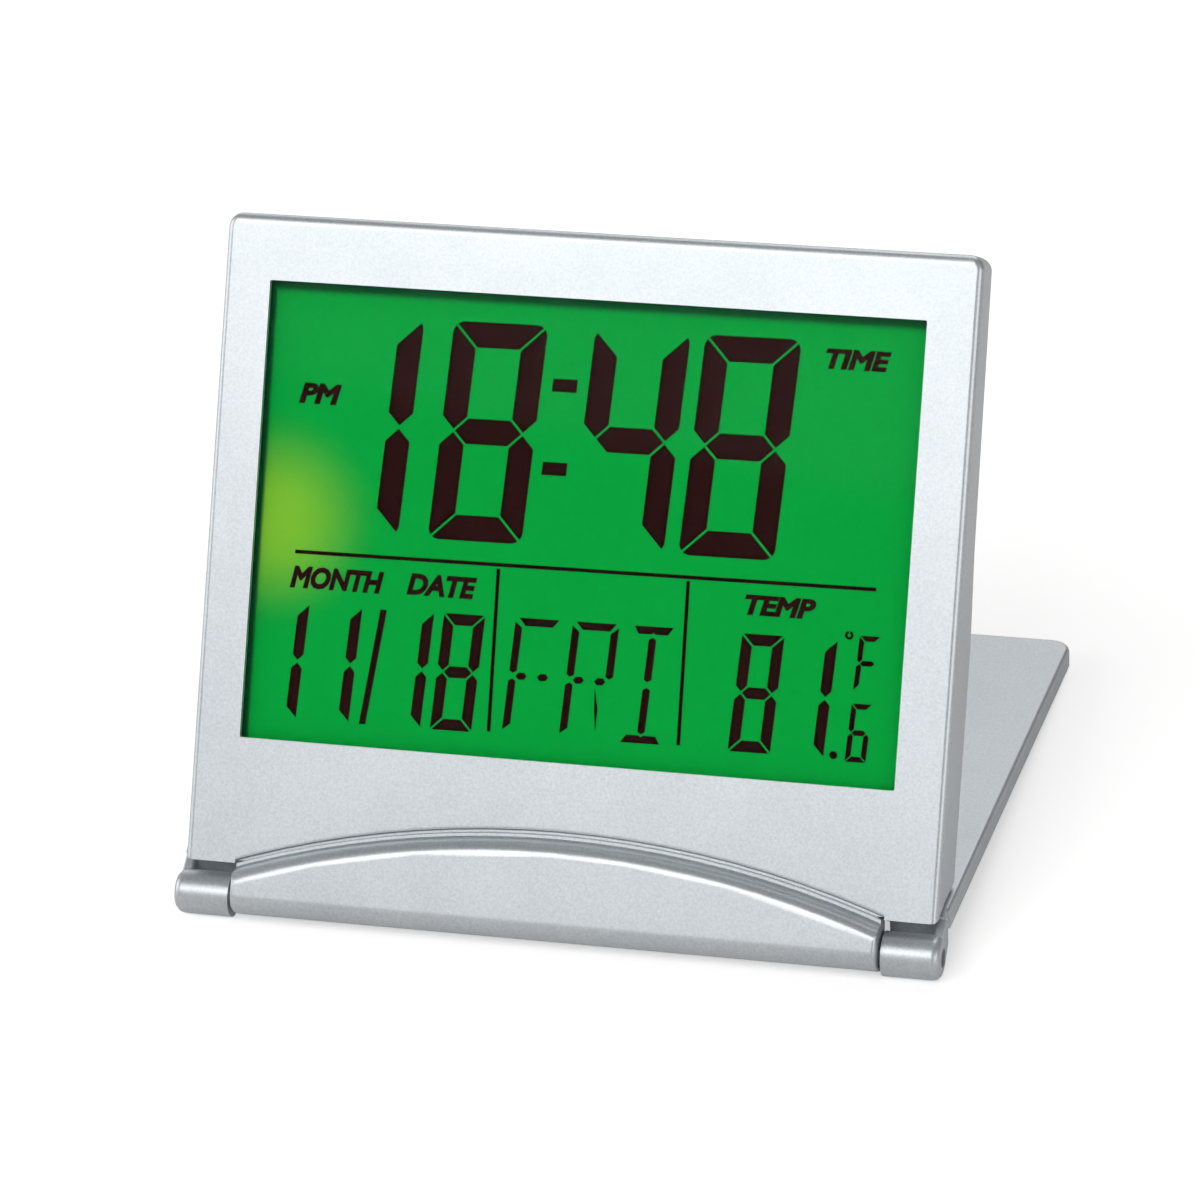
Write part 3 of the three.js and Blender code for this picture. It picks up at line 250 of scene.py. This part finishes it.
# A plain finish of one colour, with the fine grain of its moulding or rolling
def plainFinish(name):
    look = {**plainCommon, **plain[name]}
    material, tree = newMaterial(name)
    place = addNode(tree, "ShaderNodeTexCoord")
    grain = addNode(tree, "ShaderNodeTexNoise", {"Scale": 1 / (look["grain"] * mm), "Detail": 3},
                    {"Vector": place.outputs["Object"]})
    tone = addNode(tree, "ShaderNodeMapRange", {"To Min": look["darkest"], "To Max": look["palest"]},
                   {"Value": grain.outputs["Fac"]})
    colour = addNode(tree, "ShaderNodeVectorMath", {"operation": "SCALE", 0: linear(look["colour"])[:3]},
                     {"Scale": tone.outputs[0]})
    gloss = addNode(tree, "ShaderNodeMapRange", {
        "To Min": look["roughness"] - look["smoother"], "To Max": look["roughness"] + look["rougher"]},
        {"Value": grain.outputs["Fac"]})
    bump = addNode(tree, "ShaderNodeBump", {"Strength": look["relief"], "Distance": look["height"] * mm},
                   {"Height": grain.outputs["Fac"]})
    shader = addNode(tree, "ShaderNodeBsdfPrincipled", {
        "Metallic": look["metallic"], "Specular IOR Level": look["shine"]},
        {"Base Color": colour.outputs[0], "Roughness": gloss.outputs[0], "Normal": bump.outputs[0]})
    finishMaterial(tree, shader)
    return material


# One finish for each material slot, and one more for the cover
finishes = {
    "silver_shell": silverLacquer("silverLacquer", silver["case"]),
    "clear_window": clearAcrylic("clearAcrylic", acrylic),
    "display_green": greenFilm("greenFilm", display),
    "display_dark": plainFinish("darkFigures"),
    "light_guide": plainFinish("milkyAcrylic"),
    "pale_frame": plainFinish("paleAbs"),
    "contact_rubber": plainFinish("contactRubber"),
    "board_green": plainFinish("boardLacquer"),
    "black_parts": plainFinish("blackMoulding"),
    "button_grey": plainFinish("greyAbs"),
    "bright_steel": plainFinish("brightSteel"),
    "silver_cover": silverLacquer("coverLacquer", silver["cover"]),
}


def dress(piece, finish):
    piece.data.materials.clear()
    piece.data.materials.append(finish)


for nodeName, node in nodes.items():
    dress(node, finishes[slotOf[nodeName]])
print("finishes done")

# Mouldings whose edges are softened: the width of the rounding in millimetres
softened = {
    "front_shell": {"edge": 0.12, "finish": "silver_shell"},
    "back_cover": {"edge": 0.1, "finish": "silver_shell"},
    "hinge_barrel": {"edge": 0.12, "finish": "silver_shell"},
    "stand_cover": {"edge": 0.15, "finish": "silver_cover"},
    "battery_door": {"edge": 0.1, "finish": "silver_shell"},
    "light_button": {"edge": 0.2, "finish": "button_grey"},
    "mode_button": {"edge": 0.2, "finish": "button_grey"},
    "set_button": {"edge": 0.2, "finish": "button_grey"},
    "up_button": {"edge": 0.2, "finish": "button_grey"},
    "down_button": {"edge": 0.2, "finish": "button_grey"},
    "alarm_switch": {"edge": 0.15, "finish": "black_parts"},
}
softening = {"weld": 1e-3, "flat": 0.5, "sharp": 38, "steps": 2, "faceWeight": 100}  # millimetres and degrees


def soften(nodeName, look):
    shape = bmesh.new()
    shape.from_mesh(nodes[nodeName].data)
    bmesh.ops.remove_doubles(shape, verts=shape.verts, dist=softening["weld"] * mm)
    bmesh.ops.dissolve_limit(
        shape, angle_limit=math.radians(softening["flat"]), verts=shape.verts, edges=shape.edges)
    mesh = bpy.data.meshes.new(f"{nodeName}_moulding")
    shape.to_mesh(mesh)
    shape.free()
    mesh.shade_smooth()
    mesh.set_sharp_from_angle(angle=math.radians(softening["sharp"]))
    piece = bpy.data.objects.new(f"{nodeName}_moulding", mesh)
    bpy.context.scene.collection.objects.link(piece)
    rounding = piece.modifiers.new("rounding", "BEVEL")
    rounding.width = look["edge"] * mm
    rounding.segments = softening["steps"]
    rounding.limit_method = "ANGLE"
    rounding.angle_limit = math.radians(softening["sharp"])
    flattening = piece.modifiers.new("flattening", "WEIGHTED_NORMAL")
    flattening.weight = softening["faceWeight"]
    flattening.keep_sharp = True
    dress(piece, finishes[look["finish"]])
    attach(piece, nodes[nodeName]["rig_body"])
    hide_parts(nodeName)


for nodeName, look in softened.items():
    soften(nodeName, look)
print("mouldings softened")

# Plain words on the display, in millimetres: both ends from the window's middle, foot and top from the hinge
words = {
    "PM": (-33.21, -28.35, 54.8, 57.1),
    "TIME": (25.78, 33.02, 62.3, 64.5),
    "MONTH": (-32.83, -22.05, 34.4, 36.9),
    "DATE": (-19.39, -11.39, 34.6, 37.0),
    "TEMP": (18.73, 26.65, 35.2, 37.4),
}
# Weight and depth are in the font's own units, thickness, lift and weld in millimetres
lettering = {
    "weight": 0.05, "depth": 0.01, "slant": 0.22, "smoothness": 3, "thickness": 0.02, "lift": 0.01, "weld": 1e-4}


def displayWords():
    shape = bmesh.new()
    for word, (left, right, foot, top) in words.items():
        text = bpy.data.curves.new(word, "FONT")
        text.body = word
        text.shear = lettering["slant"]
        text.bevel_depth = lettering["weight"]
        text.bevel_resolution = 0
        text.extrude = lettering["depth"]
        text.resolution_u = lettering["smoothness"]
        holder = bpy.data.objects.new(word, text)
        bpy.context.scene.collection.objects.link(holder)
        bpy.context.view_layer.update()
        letters = bpy.data.meshes.new_from_object(holder.evaluated_get(bpy.context.evaluated_depsgraph_get()))
        bpy.data.objects.remove(holder)
        low, high = [Vector([pick(v.co[i] for v in letters.vertices) for i in range(3)]) for pick in (min, max)]
        size = high - low
        scale = Vector(((right - left) / size.x, (top - foot) / size.y, lettering["thickness"] / size.z)) * mm
        base = Vector((lensMiddle + left * mm, foot * mm, filmTop + lettering["lift"] * mm))
        letters.transform(
            caseFrame @ Matrix.Translation(base) @ Matrix.Diagonal((*scale, 1)) @ Matrix.Translation(-low))
        shape.from_mesh(letters)
        bpy.data.meshes.remove(letters)
    bmesh.ops.remove_doubles(shape, verts=shape.verts, dist=lettering["weld"] * mm)
    mesh = bpy.data.meshes.new("display_words")
    shape.to_mesh(mesh)
    shape.free()
    piece = bpy.data.objects.new("display_words", mesh)
    bpy.context.scene.collection.objects.link(piece)
    dress(piece, finishes["display_dark"])
    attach(piece, "display_case")


displayWords()
print("display words done")

# Lengths in metres. The lift is light added for the eye alone, more of it further from the clock.
floorLook = {"colour": "#EFEDEC", "reach": 4, "near": 0.3, "far": 1.2, "nearLift": 0.5, "farLift": 0.95}


# White paper: it still takes the clock's shadow, and fades into the white room
def paperFloor():
    shape = bmesh.new()
    bmesh.ops.create_grid(shape, x_segments=1, y_segments=1, size=floorLook["reach"])
    mesh = bpy.data.meshes.new("floor")
    shape.to_mesh(mesh)
    shape.free()
    floor = bpy.data.objects.new("floor", mesh)
    bpy.context.scene.collection.objects.link(floor)
    material, tree = newMaterial("whitePaper")
    paper = addNode(tree, "ShaderNodeBsdfDiffuse", {"Color": linear(floorLook["colour"])})
    place = addNode(tree, "ShaderNodeTexCoord")
    away = addNode(tree, "ShaderNodeVectorMath", {"operation": "LENGTH"}, {0: place.outputs["Object"]})
    rise = addNode(tree, "ShaderNodeMapRange", {
        "From Min": floorLook["near"], "From Max": floorLook["far"],
        "To Min": floorLook["nearLift"], "To Max": floorLook["farLift"]}, {"Value": away.outputs["Value"]})
    lift = addNode(tree, "ShaderNodeEmission", {"Color": (1, 1, 1, 1)}, {"Strength": rise.outputs[0]})
    seen = addNode(tree, "ShaderNodeLightPath")
    direct = addNode(tree, "ShaderNodeMath", {"operation": "MAXIMUM"},
                     {0: seen.outputs["Is Camera Ray"], 1: seen.outputs["Is Transmission Ray"]})
    both = addNode(tree, "ShaderNodeAddShader", None, {0: paper.outputs[0], 1: lift.outputs[0]})
    mix = addNode(tree, "ShaderNodeMixShader", None,
                  {0: direct.outputs[0], 1: paper.outputs[0], 2: both.outputs[0]})
    finishMaterial(tree, mix)
    dress(floor, material)


paperFloor()

room = {"colour": "#F7F9FC", "strength": 0.14}


# The eye sees plain white behind the clock, and the clock is lit by a weaker, cooler white
def whiteRoom(look):
    world = bpy.data.worlds.new("room")
    bpy.context.scene.world = world
    world.use_nodes = True
    tree = world.node_tree
    tree.nodes.clear()
    seen = addNode(tree, "ShaderNodeLightPath")
    direct = addNode(tree, "ShaderNodeMath", {"operation": "MAXIMUM"},
                     {0: seen.outputs["Is Camera Ray"], 1: seen.outputs["Is Transmission Ray"]})
    fill = addNode(tree, "ShaderNodeBackground", {"Color": linear(look["colour"]), "Strength": look["strength"]})
    white = addNode(tree, "ShaderNodeBackground", {"Color": (1, 1, 1, 1), "Strength": 1})
    mix = addNode(tree, "ShaderNodeMixShader", None,
                  {0: direct.outputs[0], 1: fill.outputs[0], 2: white.outputs[0]})
    addNode(tree, "ShaderNodeOutputWorld", None, {"Surface": mix.outputs[0]})


whiteRoom(room)

# Soft lamps: place and size in metres, power in watts
lamps = {
    "softbox": {"place": (-0.26, -0.85, 0.8), "size": (0.9, 0.6), "power": 6.05, "colour": "#FFFFFF"},
    "backdrop": {"place": (-0.25, 1.0, 0.5), "size": (1.2, 0.6), "power": 2.5, "colour": "#FFFFFF"},
    "rearFill": {"place": (0.1, 0.85, 1.25), "size": (0.9, 0.6), "power": 4, "colour": "#FFFFFF"},
    "leftPanel": {"place": (-1.05, -0.1, 0.35), "size": (0.9, 0.6), "power": 4, "colour": "#FFFFFF"},
    "rightPanel": {"place": (0.95, -0.5, 0.3), "size": (0.8, 0.5), "power": 2.6, "colour": "#FFFFFF"},
    "bounce": {"place": (-0.1, -1.1, 0.25), "size": (0.9, 0.3), "power": 0.6, "colour": "#FFFFFF"},
}
aim = Vector((0, 0, 0.035))  # the middle of the clock
for lampName, look in lamps.items():
    light = bpy.data.lights.new(lampName, "AREA")
    light.shape = "RECTANGLE"
    light.size, light.size_y = look["size"]
    light.energy = look["power"]
    light.color = linear(look["colour"])[:3]
    lamp = bpy.data.objects.new(lampName, light)
    bpy.context.scene.collection.objects.link(lamp)
    lamp.location = look["place"]
    lamp.rotation_euler = (aim - lamp.location).to_track_quat("-Z", "Y").to_euler()

# Camera where the photographer stood, in degrees and millimetres: round and above the clock, tilted a little
view = {
    "round": 16.35, "above": 27.19, "roll": -3.33, "distance": 612.7, "aim": (7.12, 0, 42.76),
    "lens": 174, "sensor": 36, "near": 10,
}
turn, rise, roll = [math.radians(view[key]) for key in ("round", "above", "roll")]
backwards = Vector((math.sin(turn) * math.cos(rise), -math.cos(turn) * math.cos(rise), math.sin(rise)))
level = Vector((math.cos(turn), math.sin(turn), 0))
upright = backwards.cross(level)
right = level * math.cos(roll) + upright * math.sin(roll)
up = upright * math.cos(roll) - level * math.sin(roll)
target = Vector(view["aim"]) * mm + Vector((0, hinge.y, 0))
cameraData = bpy.data.cameras.new("camera")
cameraData.sensor_width = view["sensor"]
cameraData.lens = view["lens"]
cameraData.clip_start = view["near"] * mm
camera = bpy.data.objects.new("camera", cameraData)
bpy.context.scene.collection.objects.link(camera)
camera.matrix_world = Matrix.Translation(target + backwards * view["distance"] * mm) @ Matrix(
    (right, up, backwards)).transposed().to_4x4()
bpy.context.scene.camera = camera
bpy.context.scene.view_settings.view_transform = "Standard"
print("stage, lamps and camera done")
